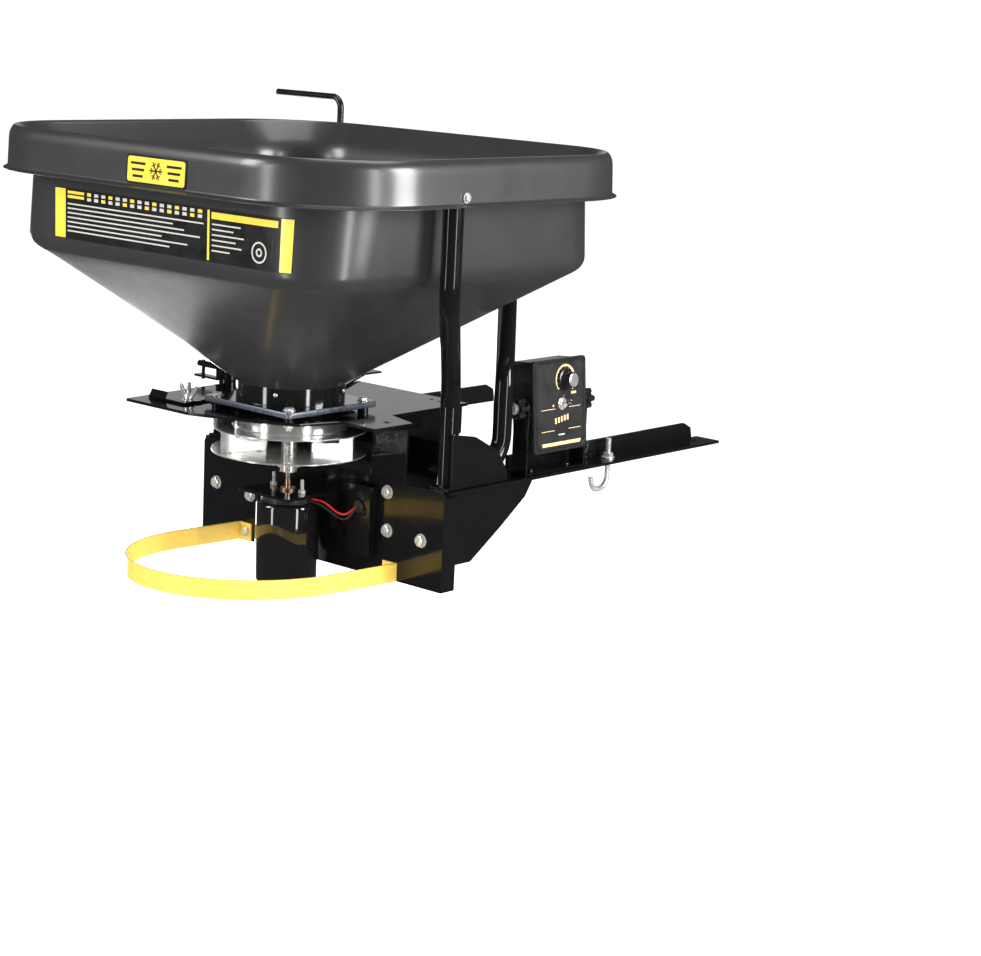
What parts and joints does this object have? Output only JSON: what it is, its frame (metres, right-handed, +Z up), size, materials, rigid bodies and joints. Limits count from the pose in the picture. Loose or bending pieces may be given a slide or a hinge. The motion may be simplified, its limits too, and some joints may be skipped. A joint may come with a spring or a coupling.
{
  "type": "tailgate salt spreader",
  "caption": "Electric broadcast spreader: black hopper on bent tube posts, sliding gate, finned spinner under a guard strap, tilting speed controller and rack arms.",
  "frame": {"origin": "centre of the rectangle of four rack bolt holes, on the underside of the two mounting arms", "axes": "+Z up, +Y forward along the arms towards the vehicle, -Y the spinner's side, +X the controller's side"},
  "size_m": [0.732, 0.931, 0.6197],
  "materials": {
    "hopper_black": "satin moulded polyethylene, fine grain",
    "gloss_black_paint": "gloss powder coat",
    "collar_grey": "satin, slightly warm dark grey",
    "guard_yellow": "gloss powder coat",
    "stainless": "bright, spun and rolled",
    "zinc": "zinc plated",
    "rod_steel": "satin black rod",
    "nylon": "satin",
    "motor_black": "gloss",
    "motor_cap_grey": "satin cast cap",
    "gold_print": "printed on the controller's label",
    "decal_black": "vinyl decal",
    "decal_yellow": "vinyl decal",
    "decal_pale": "vinyl decal",
    "shaft_steel": "ground",
    "bronze": "sintered",
    "winding": "lacquered wire and laminations",
    "ferrite": "matte ferrite",
    "rubber_black": "matte",
    "lead_red": "satin insulation",
    "case_black": "moulded",
    "knob_black": "moulded",
    "toggle_chrome": "polished",
    "lens_red": "clear red lens",
    "board_green": "solder mask"
  },
  "bodies": {
    "frame": {"hopper": "hopper_black", "deck_plate": "gloss_black_paint", "deck_brackets": "gloss_black_paint", "back_plate": "gloss_black_paint", "motor_bracket": "gloss_black_paint", "wire_channel": "gloss_black_paint", "gussets": "gloss_black_paint", "post_plates": "gloss_black_paint", "arm_left": "gloss_black_paint", "arm_right": "gloss_black_paint", "post_rear_left": "gloss_black_paint", "post_rear_right": "gloss_black_paint", "post_front_left": "gloss_black_paint", "post_front_right": "gloss_black_paint", "post_bracket": "gloss_black_paint", "rod_brackets": "gloss_black_paint", "controller_bracket": "gloss_black_paint", "throat_collar": "collar_grey", "guard_strap": "guard_yellow", "feed_collar": "stainless", "rim_screws": "zinc", "flange_bolts": "zinc", "flange_spacers": "zinc", "collar_rivets": "zinc", "plate_bolts": "zinc", "frame_bolts": "zinc", "rack_hooks": "zinc", "rack_nuts": "zinc", "motor_studs": "zinc", "rod_bushings": "nylon", "motor_can": "motor_black", "motor_cap": "motor_cap_grey", "motor_bearings": "bronze", "motor_magnets": "ferrite", "wire_grommet": "rubber_black", "motor_lead_black": "rubber_black", "motor_lead_red": "lead_red"},
    "spinner": {"spinner_disc": "stainless", "spinner_fins": "stainless", "spinner_ring": "stainless", "spinner_hub": "zinc", "hub_screws": "zinc", "agitator": "zinc", "motor_shaft": "shaft_steel", "motor_armature": "winding"},
    "gate": {"gate_plate": "gloss_black_paint"},
    "rate_rod": {"control_rod": "rod_steel", "rod_crank": "gloss_black_paint"},
    "gate_stop": {"gate_stop": "gloss_black_paint", "stop_stud": "zinc"},
    "stop_wing_nut": {"stop_wing_nut": "zinc"},
    "controller": {"controller_case": "case_black", "controller_face": "case_black", "toggle_body": "case_black", "indicator_lens": "lens_red", "circuit_board": "board_green"},
    "speed_knob": {"speed_knob": "knob_black"},
    "toggle_lever": {"toggle_lever": "toggle_chrome"},
    "clamp_knob_front": {"clamp_knob_front": "knob_black"},
    "clamp_knob_rear": {"clamp_knob_rear": "knob_black"}
  },
  "joints": [
    {"name": "spinner_turn", "type": "hinge", "parent": "frame", "child": "spinner", "pos_m": [0, -0.543, 0.029], "axis": [0, 0, 1], "range_deg": [-180, 180]},
    {"name": "rate_rod_turn", "type": "hinge", "parent": "frame", "child": "rate_rod", "pos_m": [-0.258, -0.208, 0.084], "axis": [0, 0, 1], "range_deg": [0, 49.25]},
    {"name": "gate_slide", "type": "slide", "parent": "frame", "child": "gate", "axis": [0, 1, 0], "range_m": [0, 0.1]},
    {"name": "stop_slide", "type": "slide", "parent": "frame", "child": "gate_stop", "axis": [0, 1, 0], "range_m": [0, 0.035]},
    {"name": "wing_nut_turn", "type": "hinge", "parent": "gate_stop", "child": "stop_wing_nut", "pos_m": [-0.104, -0.627, 0.094], "axis": [0, 0, 1], "range_deg": [-180, 180]},
    {"name": "controller_tilt", "type": "hinge", "parent": "frame", "child": "controller", "pos_m": [0.211, -0.264, 0.095], "axis": [0, 1, 0], "range_deg": [-12, 18]},
    {"name": "speed_knob_turn", "type": "hinge", "parent": "controller", "child": "speed_knob", "pos_m": [0.22315, -0.254, 0.12819], "axis": [0.9962, 0, 0.0872], "range_deg": [-150, 150]},
    {"name": "power_toggle", "type": "hinge", "parent": "controller", "child": "toggle_lever", "pos_m": [0.22594, -0.26, 0.09631], "axis": [0, 1, 0], "range_deg": [0, 24]},
    {"name": "clamp_knob_front_turn", "type": "hinge", "parent": "controller", "child": "clamp_knob_front", "pos_m": [0.211, -0.203, 0.095], "axis": [0, 1, 0], "range_deg": [-180, 180]},
    {"name": "clamp_knob_rear_turn", "type": "hinge", "parent": "controller", "child": "clamp_knob_rear", "pos_m": [0.211, -0.325, 0.095], "axis": [0, 1, 0], "range_deg": [-180, 180]}
  ],
  "couplings": [
    {"joint": "gate_slide", "follows": "rate_rod_turn", "m_per_rad": 0.11634}
  ]
}
